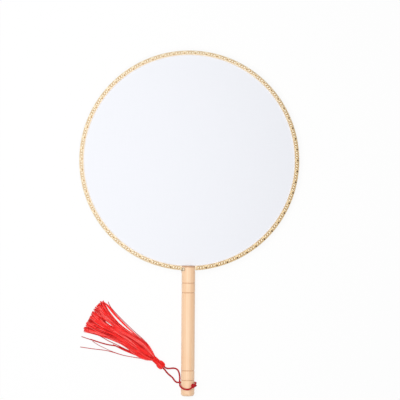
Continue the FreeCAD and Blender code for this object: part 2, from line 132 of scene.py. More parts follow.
class Finish:
    """A material: constants go on its shader's own sockets, what varies is linked to them."""

    def __init__(self, name, constants):
        self.material = bpy.data.materials.new(name)
        self.material.use_nodes = True
        self.tree = self.material.node_tree
        self.shader = self.tree.nodes["Principled BSDF"]
        for socket, value in constants.items():
            self.feed(self.shader.inputs[socket], value)
        print("finish:", name)

    def feed(self, socket, value):
        if isinstance(value, Value):
            self.tree.links.new(value.socket, socket)
        else:
            socket.default_value = value

    def node(self, kind, settings, inputs, output=0):
        made = self.tree.nodes.new(kind)
        for name, value in settings.items():
            setattr(made, name, value)
        for name, value in inputs.items():
            self.feed(made.inputs[name], value)
        return Value(self, made.outputs[output])

    def place(self, scale=(1, 1, 1)):
        """Object coordinates in metres, which are the frame's own, stretched by a scale."""
        coordinates = self.node("ShaderNodeTexCoord", {}, {}, "Object")
        return self.node("ShaderNodeMapping", {}, {"Vector": coordinates, "Scale": scale})

    def part(self, vector, axis):
        return self.node("ShaderNodeSeparateXYZ", {}, {0: vector}, axis)

    def noise(self, scale, detail=2.0):
        """Soft noise whose grain is 1 / scale metres along each axis."""
        inputs = {"Vector": self.place(scale), "Scale": 1.0, "Detail": detail}
        return self.node("ShaderNodeTexNoise", {}, inputs)

    def mix(self, share, low, high):
        return self.node("ShaderNodeMix", {"data_type": "RGBA"}, {0: share, 6: low, 7: high}, 2)

    def set(self, socket, value):
        self.feed(self.shader.inputs[socket], value)

    def bump(self, height, depth):
        """Raise the surface by height, from 0 to 1, times depth in metres."""
        bumped = self.node("ShaderNodeBump", {}, {"Height": height, "Distance": depth})
        self.set("Normal", bumped)


def colour(red, green, blue):
    """A colour as a picture shows it, 0 to 255, in the linear values that shaders use."""
    def linear(level):
        share = level / 255
        return share / 12.92 if share <= 0.04045 else ((share + 0.055) / 1.055) ** 2.4
    return (linear(red), linear(green), linear(blue), 1.0)


print("finish kit ready")

# %% [markdown]
# ## A small kit for threads
# Cord, knot, tassel and braid are all threads. A curve with a round bevel is the easiest way to draw a
# thread: a few control points, and the spline does the rest. The curves are then made into meshes, so
# that each thread can have a shade of its own.


# %% Thread kit
WELD = 1e-7
draw = random.Random(7)


def spline_curve(name, lines, kind, closed=False, widths=None):
    """A curve with one spline for each line of points."""
    curve = bpy.data.curves.new(name, "CURVE")
    curve.dimensions = "3D"
    for line in lines:
        spline = curve.splines.new(kind)
        spline.points.add(len(line) - 1)
        for index, (point, place) in enumerate(zip(spline.points, line)):
            point.co = (*place, 1)
            point.radius = widths[index] if widths else 1.0
        spline.use_cyclic_u = closed
        if kind == "NURBS":
            spline.order_u = 3
            spline.use_endpoint_u = not closed
    return curve


def curve_mesh(curve):
    """The mesh that a curve gives. The curve itself is removed."""
    holder = bpy.data.objects.new(curve.name, curve)
    mesh = bpy.data.meshes.new_from_object(holder)
    bpy.data.objects.remove(holder)
    bpy.data.curves.remove(curve)
    return mesh


def form_mesh(name, form):
    """The mesh that a bmesh gives. The bmesh itself is freed."""
    mesh = bpy.data.meshes.new(name)
    form.to_mesh(mesh)
    form.free()
    return mesh


def islands(form):
    """The groups of joined vertices of a bmesh."""
    left = set(form.verts)
    for start in form.verts:
        if start not in left:
            continue
        left.discard(start)
        group, waiting = [], [start]
        while waiting:
            vertex = waiting.pop()
            group.append(vertex)
            for edge in vertex.link_edges:
                other = edge.other_vert(vertex)
                if other in left:
                    left.discard(other)
                    waiting.append(other)
        yield group


def threads(name, lines, radius, kind="NURBS", closed=False, widths=None, steps=2, sides=0, shades=(0, 1)):
    """A mesh of round threads along lines of points, each with its own value in the attribute shade."""
    curve = spline_curve(name, lines, kind, closed, widths)
    curve.bevel_depth = radius
    curve.bevel_resolution = sides
    curve.resolution_u = steps
    curve.use_fill_caps = not closed
    mesh = curve_mesh(curve)
    form = bmesh.new()
    form.from_mesh(mesh)
    bmesh.ops.remove_doubles(form, verts=form.verts, dist=WELD)
    shade = form.verts.layers.float.new("shade")
    for group in islands(form):
        value = draw.uniform(*shades)
        for vertex in group:
            vertex[shade] = value
    form.to_mesh(mesh)
    form.free()
    return mesh


def join_meshes(name, meshes):
    """One mesh of several."""
    form = bmesh.new()
    for mesh in meshes:
        form.from_mesh(mesh)
        bpy.data.meshes.remove(mesh)
    return form_mesh(name, form)


CREASE = math.radians(40)


def add_piece(name, mesh, finish, creased=False):
    """Put a mesh into the scene as a piece with its finish, smooth or with sharp creases."""
    piece = bpy.data.objects.new(name, mesh)
    scene.collection.objects.link(piece)
    mesh.materials.clear()
    mesh.materials.append(finish.material)
    mesh.shade_smooth()
    if creased:
        mesh.set_sharp_from_angle(angle=CREASE)
    print(f"{name}: {len(mesh.polygons)} faces")
    return piece


print("thread kit ready")

# %% [markdown]
# ## Cord
# The cord is one closed loop: out of the tassel, along the handle's left side, through the cross hole,
# into the knot on the right shoulder, over the front of the handle and back to the tassel. The route
# repeats the frame's points, and a NURBS spline through them is the cord's centreline. The
# cord itself is laid from three plies that turn round that line, which is what makes it look like cord
# and not like wire.

# %% Cord route
UPPER_STRAND = [
    (-22.032, -132.993, 3.5), (-20.115, -134.750, 3.5), (-17.2, -135.0, 2.3), (-12.6, -134.5, 1.2),
    (-9.4, -135.9, 0.9), (-8.0, -138.9, 1.7), (-7.4, -141.9, 3.2), (-7.3, -144.8, 5.0),
]
HOLE_RUN = [
    (-7.6, -147.4, 6.25), (-4.8, -147.4, 6.25), (3.5, -147.4, 6.25), (7.6, -147.4, 6.25),
    (7.640, -147.861, 10.176), (6.201, -149.300, 11.447),
]
FRONT_RUN = [
    (4.401, -151.100, 13.037), (3.322, -152.179, 13.990), (0.4, -153.5, 13.7), (-4.2, -153.0, 12.6),
    (-7.15, -150.672, 8.632), (-7.15, -149.4, 6.25),
]
LOWER_STRAND = [
    (-7.15, -148.411, 4.398), (-7.9, -147.7, 2.55), (-10.2, -147.9, 1.4), (-12.4, -146.2, 1.0),
    (-14.0, -143.4, 0.9), (-17.0, -141.1, 1.4), (-19.8, -138.3, 2.5), (-21.230, -135.966, 3.5),
    (-23.147, -134.210, 3.5),
]
CORD_DIAMETER = 1.5 * MM
# The frame's stretches of cord and its knot, end to end
LINE_STEPS = 12
cord_route = [Vector(point) * MM for point in UPPER_STRAND + HOLE_RUN + FRONT_RUN + LOWER_STRAND]


def read_line(route):
    """Points along the smooth spline that has the route as its control points."""
    curve = spline_curve("route", [route], "NURBS")
    curve.resolution_u = LINE_STEPS
    mesh = curve_mesh(curve)
    points = [vertex.co.copy() for vertex in mesh.vertices]
    bpy.data.meshes.remove(mesh)
    return points


def line_length(points):
    return sum((after - before).length for before, after in zip(points, points[1:]))


cord_line = read_line(cord_route)
print(f"cord: {len(cord_route)} route points, {line_length(cord_line) / MM:.1f} mm long")

# %% [markdown]
# The plies follow a frame that is carried along the line without twisting of its own. Turning that frame
# by the length travelled gives an even lay, also round tight bends.

# %% Lay the plies
PLIES = 3
LAY = 3.4 * MM
PLY_RADIUS = 0.5 * MM
# How far the plies bulge past the cord's mean diameter
PLY_BULGE = 0.07 * MM
PLY_OFFSET = CORD_DIAMETER / 2 - PLY_RADIUS + PLY_BULGE


def ply_lines(points):
    """One line of points for each ply of a cord that follows the points."""
    lines = [[] for ply in range(PLIES)]
    travelled = 0.0
    ahead = (points[1] - points[0]).normalized()
    side = ahead.orthogonal().normalized()
    for index, point in enumerate(points):
        before = points[max(index - 1, 0)]
        after = points[min(index + 1, len(points) - 1)]
        turned = (after - before).normalized()
        side = (ahead.rotation_difference(turned) @ side).normalized()
        ahead = turned
        travelled += (point - before).length
        for ply, line in enumerate(lines):
            angle = 2 * math.pi * (travelled / LAY + ply / PLIES)
            line.append(point + Matrix.Rotation(angle, 3, ahead) @ side * PLY_OFFSET)
    return lines


CORD_DEEP = colour(142, 0, 22)
CORD_BRIGHT = colour(226, 22, 38)
# Fibres in a metre, their share of the colour beside the ply's own shade, and how far they stand out
CORD_FIBRES = (5200, 5200, 5200)
FIBRE_SHARE = 0.7
FIBRE_DEPTH = 0.04 * MM


def cord_finish():
    """Dull twisted thread: a shade for each ply and fine fibres across the light."""
    finish = Finish("dark red cord", {"Roughness": 0.55, "Specular IOR Level": 0.25})
    shade = finish.node("ShaderNodeAttribute", {"attribute_name": "shade"}, {}, "Fac")
    fibre = finish.noise(CORD_FIBRES, detail=3.0)
    tone = (1 - FIBRE_SHARE) * shade + FIBRE_SHARE * fibre
    finish.set("Base Color", finish.mix(tone, CORD_DEEP, CORD_BRIGHT))
    finish.bump(fibre, FIBRE_DEPTH)
    return finish


cord_red = cord_finish()
cord_mesh = threads("cord", ply_lines(cord_line), PLY_RADIUS, kind="POLY", sides=1)
cord = add_piece("cord", cord_mesh, cord_red)

# %% [markdown]
# ## Knot
# The loop is closed by a small overhand knot with two cut tails. An overhand knot is a trefoil, and the
# trefoil has a short formula, so the knot can be drawn with the same three plies as the cord.

# %% Knot
KNOT_CENTRE = Vector((5.301, -150.2, 11.95)) * MM
KNOT_LINE = Vector((-0.5997, -0.5997, 0.5297))
KNOT_SIZE = 0.5 * MM
KNOT_HEIGHT = 1.6
KNOT_POINTS = 72
# Two points of each tail after the knot's middle: where it leaves the knot, and its cut tip
TAILS = [[(7.5, -150.3, 12.6), (7.0, -147.9, 12.6)], [(7.0, -151.2, 12.4), (7.9, -149.3, 11.9)]]


def trefoil(turn):
    return Vector((
        math.sin(turn) + 2 * math.sin(2 * turn),
        math.cos(turn) - 2 * math.cos(2 * turn),
        -KNOT_HEIGHT * math.sin(3 * turn),
    ))


def knot_lines():
    """The knot's round and its two tails, as centrelines."""
    upright = Vector((0, 0, 1)).rotation_difference(KNOT_LINE)
    turns = [2 * math.pi * index / KNOT_POINTS for index in range(KNOT_POINTS + 1)]
    lines = [[KNOT_CENTRE + upright @ trefoil(turn) * KNOT_SIZE for turn in turns]]
    for tail in TAILS:
        lines.append(read_line([KNOT_CENTRE] + [Vector(point) * MM for point in tail]))
    return lines


knot_plies = [ply for line in knot_lines() for ply in ply_lines(line)]
knot_mesh = join_meshes("cord_knot_tied", [
    threads("knot", [ply], PLY_RADIUS, kind="POLY", sides=1) for ply in knot_plies
])
knot = add_piece("cord_knot_tied", knot_mesh, cord_red)
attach(knot, "fan")
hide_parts("cord_knot")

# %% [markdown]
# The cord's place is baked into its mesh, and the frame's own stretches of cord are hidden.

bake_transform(cord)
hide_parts("cord_upper_strand", "cord_hole_run", "cord_front_run", "cord_lower_strand")
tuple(cord_line[0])

# %% [markdown]
# ## Face
# The face is cloth, pulled tight over both sides of the hoop and glued under the braid. A spun disc with
# rings of faces is enough for a flat sheet. The weave is far finer than a pixel of the picture, so it is
# a bump on Object coordinates, with the uneven thick threads that silk has.

# %% Cloth finish
THREAD_PITCH = 0.36 * MM
# Slubs in a metre, along a thread and across it
SLUBS_ALONG, SLUBS_ACROSS = 45, 2400
WEAVE_DEPTH = 0.02 * MM
CLOTH_WHITE = colour(244, 245, 250)
CLOTH_SHADE = colour(235, 237, 243)


def cloth_finish():
    """Plain weave: warp and weft cross as two sine waves, and slubs run along both."""
    finish = Finish("white face cloth", {"Roughness": 0.8, "Specular IOR Level": 0.25})
    finish.set("Sheen Weight", 0.1)
    place = finish.place()
    turns = 2 * math.pi / THREAD_PITCH
    warp = (finish.part(place, "X") * turns).sine()
    weft = (finish.part(place, "Y") * turns).sine()
    slubs = finish.noise((SLUBS_ACROSS, SLUBS_ALONG, 1)) + finish.noise((SLUBS_ALONG, SLUBS_ACROSS, 1))
    weave = warp * weft * 0.5 + 0.5
    tone = weave * 0.25 + slubs * 0.35
    finish.set("Base Color", finish.mix(tone, CLOTH_WHITE, CLOTH_SHADE))
    finish.bump(weave * 0.6 + slubs * 0.2, WEAVE_DEPTH)
    return finish


white_cloth = cloth_finish()

# %% Cloth faces
FACE_RADIUS = (FACE_HIGH.x - FACE_LOW.x) / 2
DISC_Y = (FACE_HIGH.y + FACE_LOW.y) / 2
CLOTH_RINGS = 8
CLOTH_STEPS = 144
CLOTH_WELD = 0.001 * MM


def spin_about_disc(form, geometry, angle, steps, whole):
    """Turn geometry about the disc's own axis."""
    return bmesh.ops.spin(
        form, geom=geometry, cent=(0, DISC_Y, 0), axis=(0, 0, 1),
        angle=angle, steps=steps, use_merge=whole,
    )


def cloth_face(name, node):
    """A taut round sheet, as thick as the frame's cloth."""
    low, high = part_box(node)
    form = bmesh.new()
    spoke = [
        form.verts.new((FACE_RADIUS * ring / CLOTH_RINGS, DISC_Y, low.z)) for ring in range(CLOTH_RINGS + 1)
    ]
    edges = [form.edges.new(pair) for pair in zip(spoke, spoke[1:])]
    spin_about_disc(form, spoke + edges, 2 * math.pi, CLOTH_STEPS, True)
    bmesh.ops.remove_doubles(form, verts=form.verts, dist=CLOTH_WELD)
    bmesh.ops.recalc_face_normals(form, faces=form.faces)
    if form.faces[0].normal.z < 0:
        bmesh.ops.reverse_faces(form, faces=form.faces)
    bmesh.ops.solidify(form, geom=form.faces, thickness=-(high.z - low.z))
    bmesh.ops.recalc_face_normals(form, faces=form.faces)
    sheet = add_piece(name, form_mesh(name, form), white_cloth, creased=True)
    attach(sheet, "fan")
    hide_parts(node)


cloth_face("front_face", "front_cloth")
cloth_face("back_face", "back_cloth")

# %% [markdown]
# ## Braid
# The braid is a woven gold ribbon folded over the rim. Its ground is a folded section spun round the
# disc, open where the handle is. On it lie the figures that the weave floats to the surface: three pale
# cushions, each in a slanted ring of darker thread, and then a dark eye, again and again round both sides.
# They are real forms, because raised gold catches the light and a painted pattern wouldn't. Every gold
# has a pale and a dark pair of tones, and the dark pair is painted shade on the right of the fan.

# %% Braid finishes
BRAID_LOW, BRAID_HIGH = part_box("edge_braid")
RIM = (BRAID_HIGH.x - BRAID_LOW.x) / 2
MID_Z = (BRAID_HIGH.z + BRAID_LOW.z) / 2
HALF_THICK = (BRAID_HIGH.z - BRAID_LOW.z) / 2
RIB_COUNT = 900
RIB_DEPTH = 0.08 * MM
# Spots of tarnish and grains of raised thread in a metre
TARNISH_SPOTS = (260, 260, 260)
THREAD_GRAINS = (3600, 3600, 3600)
GRAIN_DEPTH = 0.06 * MM
# In this direction from the middle the eyes lie nearest the rim, and the golds get painted shade between
# these distances
DRIFT_AND_SHADE_TOWARDS = math.radians(-35)
PAINTED_SHADE_FROM, PAINTED_SHADE_TO = -0.05 * RIM, 0.85 * RIM


def gold_tones(finish, tone, pale, dark):
    """Colour by tone between a deep and a bright gold, pale on the left of the fan and with painted shade
    on the right.
    """
    place = finish.place()
    across = finish.part(place, "X") * math.cos(DRIFT_AND_SHADE_TOWARDS)
    along = (finish.part(place, "Y") - DISC_Y) * math.sin(DRIFT_AND_SHADE_TOWARDS)
    # Painted shade: the dark pair of tones takes over towards the right of the fan, away from the lamp
    painted_shade = (across + along).rise(PAINTED_SHADE_FROM, PAINTED_SHADE_TO)
    deep = finish.mix(painted_shade, pale[0], dark[0])
    bright = finish.mix(painted_shade, pale[1], dark[1])
    finish.set("Base Color", finish.mix(tone, deep, bright))


def ribbon_finish():
    """The ribbon's ground: fine cross ribs of gold thread with darker gaps."""
    finish = Finish("gold ribbon ground", {"Metallic": 0.15, "Roughness": 0.5})
    place = finish.place()
    across = finish.part(place, "X")
    along = finish.part(place, "Y") - DISC_Y
    rib = (across.maths("ARCTAN2", along, across) * RIB_COUNT).sine() * 0.5 + 0.5
    tarnish = finish.noise(TARNISH_SPOTS)
    # The second pair is painted shade for the right of the fan
    pale = colour(252, 228, 188), colour(255, 248, 224)
    dark = colour(238, 202, 146), colour(255, 238, 196)
    gold_tones(finish, rib * 0.45 + tarnish * 0.55, pale, dark)
    finish.bump(rib, RIB_DEPTH)
    return finish


def raised_finish(name, pale, dark, metallic):
    """Raised thread: a fine grain between two tones, with a soft metallic glint."""
    finish = Finish(name, {"Metallic": metallic, "Roughness": 0.42})
    grain = finish.noise(THREAD_GRAINS)
    gold_tones(finish, grain, pale, dark)
    finish.bump(grain, GRAIN_DEPTH)
    return finish


gold_ground = ribbon_finish()
# The second pair of tones of each raised gold is painted shade for the right of the fan
cushion_gold = raised_finish(
    "pale gold cushion", (colour(255, 238, 205), colour(255, 250, 232)),
    (colour(255, 233, 192), colour(255, 248, 222)), 0.1,
)
ring_gold = raised_finish(
    "dark gold ring", (colour(182, 138, 80), colour(228, 188, 130)),
    (colour(156, 112, 60), colour(214, 172, 112)), 0.2,
)
whip_gold = raised_finish(
    "gold whipping", (colour(242, 210, 156), colour(255, 230, 186)),
    (colour(222, 180, 118), colour(250, 216, 158)), 0.2,
)
eye_brown = raised_finish(
    "dark braid eye", (colour(172, 130, 80), colour(214, 174, 122)),
    (colour(78, 52, 22), colour(128, 92, 48)), 0.1,
)
pale_rose = colour(248, 234, 226), colour(255, 249, 244)
edge_white = raised_finish("pale edge thread", pale_rose, pale_rose, 0.0)

# %% Braid ground
RIBBON = 0.4 * MM
RIBBON_REACH = 4.1 * MM
FIGURE_ROOM = 0.3 * MM
WHIP_ROOM = 0.2 * MM
RIM_BEVEL = 1.3 * MM
RIM_SEGMENTS = 5
RIM_SLACK = 0.01 * MM
GAP_HALF = 6.45 * MM
BRAID_STEPS = 240
RIBBON_TOP = HALF_THICK - FIGURE_ROOM
RIBBON_RIM = RIM - WHIP_ROOM
gap_angle = math.asin(GAP_HALF / RIM)
braid_start = -math.pi / 2 + gap_angle
braid_sweep = 2 * math.pi - 2 * gap_angle


def on_disc(angle, radius, height):
    """A point at an angle and radius on the disc, at a height from its middle plane."""
    return Vector((radius * math.cos(angle), DISC_Y + radius * math.sin(angle), MID_Z + height))


def braid_ground():
    """The folded ribbon, rounded along the rim and closed at both ends."""
    inner = RIM - RIBBON_REACH
    fold = RIBBON_RIM - RIBBON
    under = RIBBON_TOP - RIBBON
    section = [
        (inner, RIBBON_TOP), (RIBBON_RIM, RIBBON_TOP), (RIBBON_RIM, -RIBBON_TOP), (inner, -RIBBON_TOP),
        (inner, -under), (fold, -under), (fold, under), (inner, under),
    ]
    form = bmesh.new()
    corners = [form.verts.new(on_disc(braid_start, radius, height)) for radius, height in section]
    edges = [form.edges.new(pair) for pair in zip(corners, corners[1:] + corners[:1])]
    spin_about_disc(form, corners + edges, braid_sweep, BRAID_STEPS, False)
    bmesh.ops.holes_fill(form, edges=[edge for edge in form.edges if edge.is_boundary])
    bmesh.ops.recalc_face_normals(form, faces=form.faces)
    centre = Vector((0, DISC_Y))

    def on_rim(vertex):
        return (vertex.co.xy - centre).length > RIBBON_RIM - RIM_SLACK

    rim_edges = [edge for edge in form.edges if all(on_rim(vertex) for vertex in edge.verts)]
    rim_edges = [edge for edge in rim_edges if abs(edge.verts[0].co.z - edge.verts[1].co.z) < WELD]
    bmesh.ops.bevel(
        form, geom=rim_edges, offset=RIM_BEVEL, segments=RIM_SEGMENTS, profile=0.5, affect="EDGES",
        material=-1,
    )
    return form_mesh("braid_ribbon", form)


braid = add_piece("braid_ribbon", braid_ground(), gold_ground, creased=True)
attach(braid, "fan")
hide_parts("edge_braid")

# %% [markdown]
# The figures drift across the ribbon's width with the fold: on the right the dark eyes lie near the rim,
# on the left near the inner edge. Each lies on the ribbon's surface, also where that bends over the rim.

# %% Braid figures
REPEATS = 61
CELL = 2.5 * MM
SLANT = math.radians(28)
RING_THREAD = 0.2 * MM
RING_POINTS = 12
RING_ALONG, RING_ACROSS = 0.95 * MM, 1.5 * MM
CUSHION_ALONG, CUSHION_ACROSS = 1.3 * MM, 2.0 * MM
EYE_ALONG, EYE_ACROSS = 1.6 * MM, 1.6 * MM
CUSHION_HIGH, CUSHION_ROUND = 0.5 * MM, 0.24 * MM
CUSHION_SEGMENTS = 2
# How far the figures lie in from the rim, and how far they drift inwards with the fold
CELL_INSET, CELL_DRIFT = 2.3 * MM, 0.1 * MM
EYE_INSET, EYE_DRIFT = 2.25 * MM, -0.8 * MM


def ribbon_height(radius):
    """The height of the ribbon's surface over the disc's middle plane."""
    over = max(0, radius - (RIBBON_RIM - RIM_BEVEL))
    return RIBBON_TOP - RIM_BEVEL + math.sqrt(max(0, RIM_BEVEL**2 - over**2))


def ring_oval():
    """The points of a ring, along the ribbon and across it."""
    turns = [2 * math.pi * index / RING_POINTS for index in range(RING_POINTS)]
    return [Vector((math.cos(turn) * RING_ALONG, math.sin(turn) * RING_ACROSS)) for turn in turns]


def ring_line(angle, radius, side):
    """A closed slanted oval on one side of the braid."""
    line = []
    for point in ring_oval():
        along, across = Matrix.Rotation(SLANT, 2) @ point
        height = ribbon_height(radius + across) + RING_THREAD / 2
        line.append(on_disc(angle + along / RIM, radius + across, side * height))
    return line


def on_braid(angle, radius, side):
    """The place and slant of a figure on one side of the braid."""
    spot = Matrix.Translation(on_disc(angle, radius, side * ribbon_height(radius)))
    return spot @ Matrix.Rotation(angle - SLANT, 4, "Z")


def cushions(name, spots, along, across, finish):
    """A small rounded block for each spot, which has the ribbon's width as its first axis."""
    form = bmesh.new()
    size = Matrix.Diagonal((across, along, CUSHION_HIGH, 1))
    for spot in spots:
        bmesh.ops.create_cube(form, size=1, matrix=spot @ size)
    bmesh.ops.bevel(
        form, geom=form.edges, offset=CUSHION_ROUND, segments=CUSHION_SEGMENTS, profile=0.5,
        affect="EDGES", material=-1,
    )
    piece = add_piece(name, form_mesh(name, form), finish)
    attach(piece, "fan")


cell_places = []
eye_places = []
repeat_angle = braid_sweep / REPEATS
for repeat in range(REPEATS):
    middle = braid_start + repeat_angle * (repeat + 0.5)
    drift = math.cos(middle - DRIFT_AND_SHADE_TOWARDS)
    for side in (1, -1):
        for cell in (-1, 0, 1):
            cell_places.append((middle + cell * CELL / RIM, RIM - CELL_INSET - CELL_DRIFT * drift, side))
        if repeat:
            eye_places.append((middle - repeat_angle / 2, RIM - EYE_INSET - EYE_DRIFT * drift, side))

cell_spots = [on_braid(*place) for place in cell_places]
eye_spots = [on_braid(*place) for place in eye_places]
cushions("braid_cushions", cell_spots, CUSHION_ALONG, CUSHION_ACROSS, cushion_gold)
cushions("braid_eyes", eye_spots, EYE_ALONG, EYE_ACROSS, eye_brown)
ring_mesh = threads(
    "braid_rings", [ring_line(*place) for place in cell_places], RING_THREAD, kind="POLY", closed=True,
)
rings = add_piece("braid_rings", ring_mesh, ring_gold)
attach(rings, "fan")

# %% [markdown]
# Two more threads finish the braid. Short ones are whipped over the rim between the cushions, which
# breaks up its outline from every side. A pale piping runs all the way round on the cloth, along the
# braid's inner edge, and steps aside for the handle's head.

# %% Whipping and piping
WHIP_THREAD = 0.16 * MM
WHIP_REACH = 2.2 * MM
# The bend over the rim in degrees, and where the whipping lies in a repeat, in cells from its middle
WHIP_BEND = (90, 60, 30, 0)
WHIP_CELLS = (-1.5, -0.5, 0.5, 1.5)
PIPING = 0.33 * MM
PIPING_STEP = 0.4 * MM
PIPING_POINTS = 240
STEP_REACH = 1.8 * gap_angle


def whip_line(angle):
    """Over the rim from one side to the other, on the ribbon's surface."""
    over = [(RIM - WHIP_REACH, RIBBON_TOP)]
    for turn in WHIP_BEND:
        cosine, sine = math.cos(math.radians(turn)), math.sin(math.radians(turn))
        over.append((RIBBON_RIM - RIM_BEVEL * (1 - cosine), RIBBON_TOP - RIM_BEVEL * (1 - sine)))
    under = [(radius, -height) for radius, height in reversed(over)]
    return [on_disc(angle, radius, height) for radius, height in over + under]


def piping_line(side):
    """Round the face beside the ribbon, a little further in where the handle's head is."""
    line = []
    for index in range(PIPING_POINTS):
        turn = -math.pi / 2 + 2 * math.pi * index / PIPING_POINTS
        beside = min(index, PIPING_POINTS - index) * 2 * math.pi / PIPING_POINTS
        step = PIPING_STEP * max(0, 1 - (beside / STEP_REACH) ** 4)
        radius = RIM - RIBBON_REACH - PIPING - step
        line.append(on_disc(turn, radius, side * (FACE_HIGH.z - MID_Z + PIPING)))
    return line


whip_lines = [
    whip_line(braid_start + repeat_angle * (repeat + 0.5) + cell * CELL / RIM)
    for repeat in range(REPEATS) for cell in WHIP_CELLS
]
whip_mesh = threads("braid_whipping", whip_lines, WHIP_THREAD, kind="POLY")
whipping = add_piece("braid_whipping", whip_mesh, whip_gold)
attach(whipping, "fan")

piping_lines = [piping_line(side) for side in (1, -1)]
piping_mesh = threads("braid_piping", piping_lines, PIPING, kind="POLY", closed=True, sides=1)
piping = add_piece("braid_piping", piping_mesh, edge_white)
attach(piping, "fan")

# %% [markdown]
# ## Handle and hoop
# The handle is a turned stick and the frame's own solid has the right shape, so it only needs wood. The
# growth rings of a tree are cylinders round its heart. A stick cut beside the heart shows them as long
# streaks along its sides and as arcs on its ends, and the same formula gives both. The hoop is a bamboo
# strip that hides between the cloths, so plain fibres are enough for it.

# %% Wood finish
HANDLE_LOW, HANDLE_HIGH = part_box("handle")
HANDLE_RADIUS = (HANDLE_HIGH.x - HANDLE_LOW.x) / 2
AXIS_Z = (HANDLE_HIGH.z + HANDLE_LOW.z) / 2
HEART_X, HEART_Z = -16 * MM, -11 * MM
RING_WIDTH = 1.5 * MM
# Waves of the growth rings, fibres, pores and tinted patches in a metre, each across, along and up
RING_WAVES, RING_SWAY = (90, 9, 90), 1.6 * MM
WOOD_FIBRES = (2600, 45, 2600)
WOOD_PORES, PORE_FROM, PORE_TO = (3600, 160, 3600), 0.62, 0.72
WOOD_PATCHES = (10, 26, 10)
WOOD_RELIEF = 0.03 * MM
WOOD_LIGHT = colour(255, 230, 199)
WOOD_DARK = colour(247, 194, 146)
WOOD_CUT_AND_SHADE = colour(178, 122, 80)
# The grooves are darker the deeper they are, but not on the rounded butt; the head's edge is darker as end
# grain and as painted shade
GROOVE_FROM, GROOVE_TO = 0.04 * MM, 0.3 * MM
BUTT_FROM, BUTT_TO = 3.0 * MM, 4.0 * MM
HEAD_FROM, HEAD_TO = 1.8 * MM, 0.8 * MM
GROOVE_SHARE, HEAD_SHARE = 0.42, 0.65
BAMBOO_LIGHT = colour(214, 186, 128)
BAMBOO_DARK = colour(176, 142, 88)
BAMBOO_FIBRES = (900, 900, 4200)
BAMBOO_RELIEF = 0.04 * MM


def distance(across, up):
    return (across * across + up * up).root()


def wood_finish():
    """Growth rings, fibres and pores along the stick, darker in the grooves, and at the head with end grain
    and painted shade.
    """
    finish = Finish("pale turned wood", {"Roughness": 0.48, "Specular IOR Level": 0.4})
    finish.set("Coat Weight", 0.5)
    finish.set("Coat Roughness", 0.3)
    place = finish.place()
    across, along, up = (finish.part(place, axis) for axis in "XYZ")
    sway = finish.noise(RING_WAVES) * RING_SWAY
    heart = distance(across - HEART_X, up - HEART_Z) + sway
    ring = (heart * (2 * math.pi / RING_WIDTH)).sine() * 0.5 + 0.5
    fibre = finish.noise(WOOD_FIBRES, detail=3.0)
    pores = finish.noise(WOOD_PORES).rise(PORE_FROM, PORE_TO)
    patch = finish.noise(WOOD_PATCHES)
    tone = ring * 0.25 + fibre * 0.6 + patch * 0.3 + pores * 0.2
    wood = finish.mix(tone, WOOD_LIGHT, WOOD_DARK)
    depth = HANDLE_RADIUS - distance(across, up - AXIS_Z)
    butt = along.rise(HANDLE_LOW.y + BUTT_FROM, HANDLE_LOW.y + BUTT_TO)
    groove = depth.rise(GROOVE_FROM, GROOVE_TO) * butt * GROOVE_SHARE
    # Partly end grain, partly painted shade: a darker band along the head's edge
    head = along.rise(HANDLE_HIGH.y - HEAD_FROM, HANDLE_HIGH.y - HEAD_TO) * HEAD_SHARE
    finish.set("Base Color", finish.mix(groove.maths("MAXIMUM", groove, head), wood, WOOD_CUT_AND_SHADE))
    finish.bump(fibre * 0.7 - pores * 0.3, WOOD_RELIEF)
    return finish


def bamboo_finish():
    """Bare bamboo with straight fibres."""
    finish = Finish("bamboo strip", {"Roughness": 0.5})
    fibre = finish.noise(BAMBOO_FIBRES, detail=3.0)
    finish.set("Base Color", finish.mix(fibre, BAMBOO_LIGHT, BAMBOO_DARK))
    finish.bump(fibre, BAMBOO_RELIEF)
    return finish


def dress(node, finish):
    """Give a piece of the frame its finish."""
    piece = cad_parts[node]
    piece.data.materials.clear()
    piece.data.materials.append(finish.material)


dress("handle", wood_finish())
dress("hoop", bamboo_finish())

# %% [markdown]
# The braid's left end isn't cut off at the handle. It is pulled round the handle's shoulder and glued
# there, as a short flap that gets narrower to its tip. The braid's rings and cushions run on over it.

# %% Braid lap
LAP_TURNS = math.radians(200), math.radians(122)
HEAD_BARE = 0.9 * MM
LAP_TOP = HANDLE_HIGH.y - HEAD_BARE
LAP_DEEP, LAP_TIP = 5.4 * MM, 3.8 * MM
LAP_COLUMNS = 8
LAP_THICK = 0.4 * MM
# Each ring's shares of the way round the handle and down it
LAP_RINGS = [(0.07, 0.44), (0.345, 0.46), (0.62, 0.48), (0.89, 0.5)]


def on_lap(share, down, lift):
    """A point on the flap, by its shares of the way round the handle and down it."""
    turn = LAP_TURNS[0] + share * (LAP_TURNS[1] - LAP_TURNS[0])
    deep = LAP_DEEP + share * (LAP_TIP - LAP_DEEP)
    radius = HANDLE_RADIUS + lift
    return Vector((radius * math.cos(turn), LAP_TOP - down * deep, AXIS_Z + radius * math.sin(turn)))


def lap_ground():
    """The flap's ground, a closed shell on the handle's surface."""
    form = bmesh.new()
    columns = []
    for column in range(LAP_COLUMNS + 1):
        share = column / LAP_COLUMNS
        columns.append([form.verts.new(on_lap(share, down, lift)) for down, lift in (
            (0, 0), (0, LAP_THICK), (0.5, LAP_THICK), (1, LAP_THICK), (1, 0),
        )])
    for left, right in zip(columns, columns[1:]):
        for index in range(len(left)):
            after = (index + 1) % len(left)
            form.faces.new((left[index], left[after], right[after], right[index]))
    form.faces.new(columns[0])
    form.faces.new(columns[-1])
    bmesh.ops.recalc_face_normals(form, faces=form.faces)
    return form_mesh("lap", form)


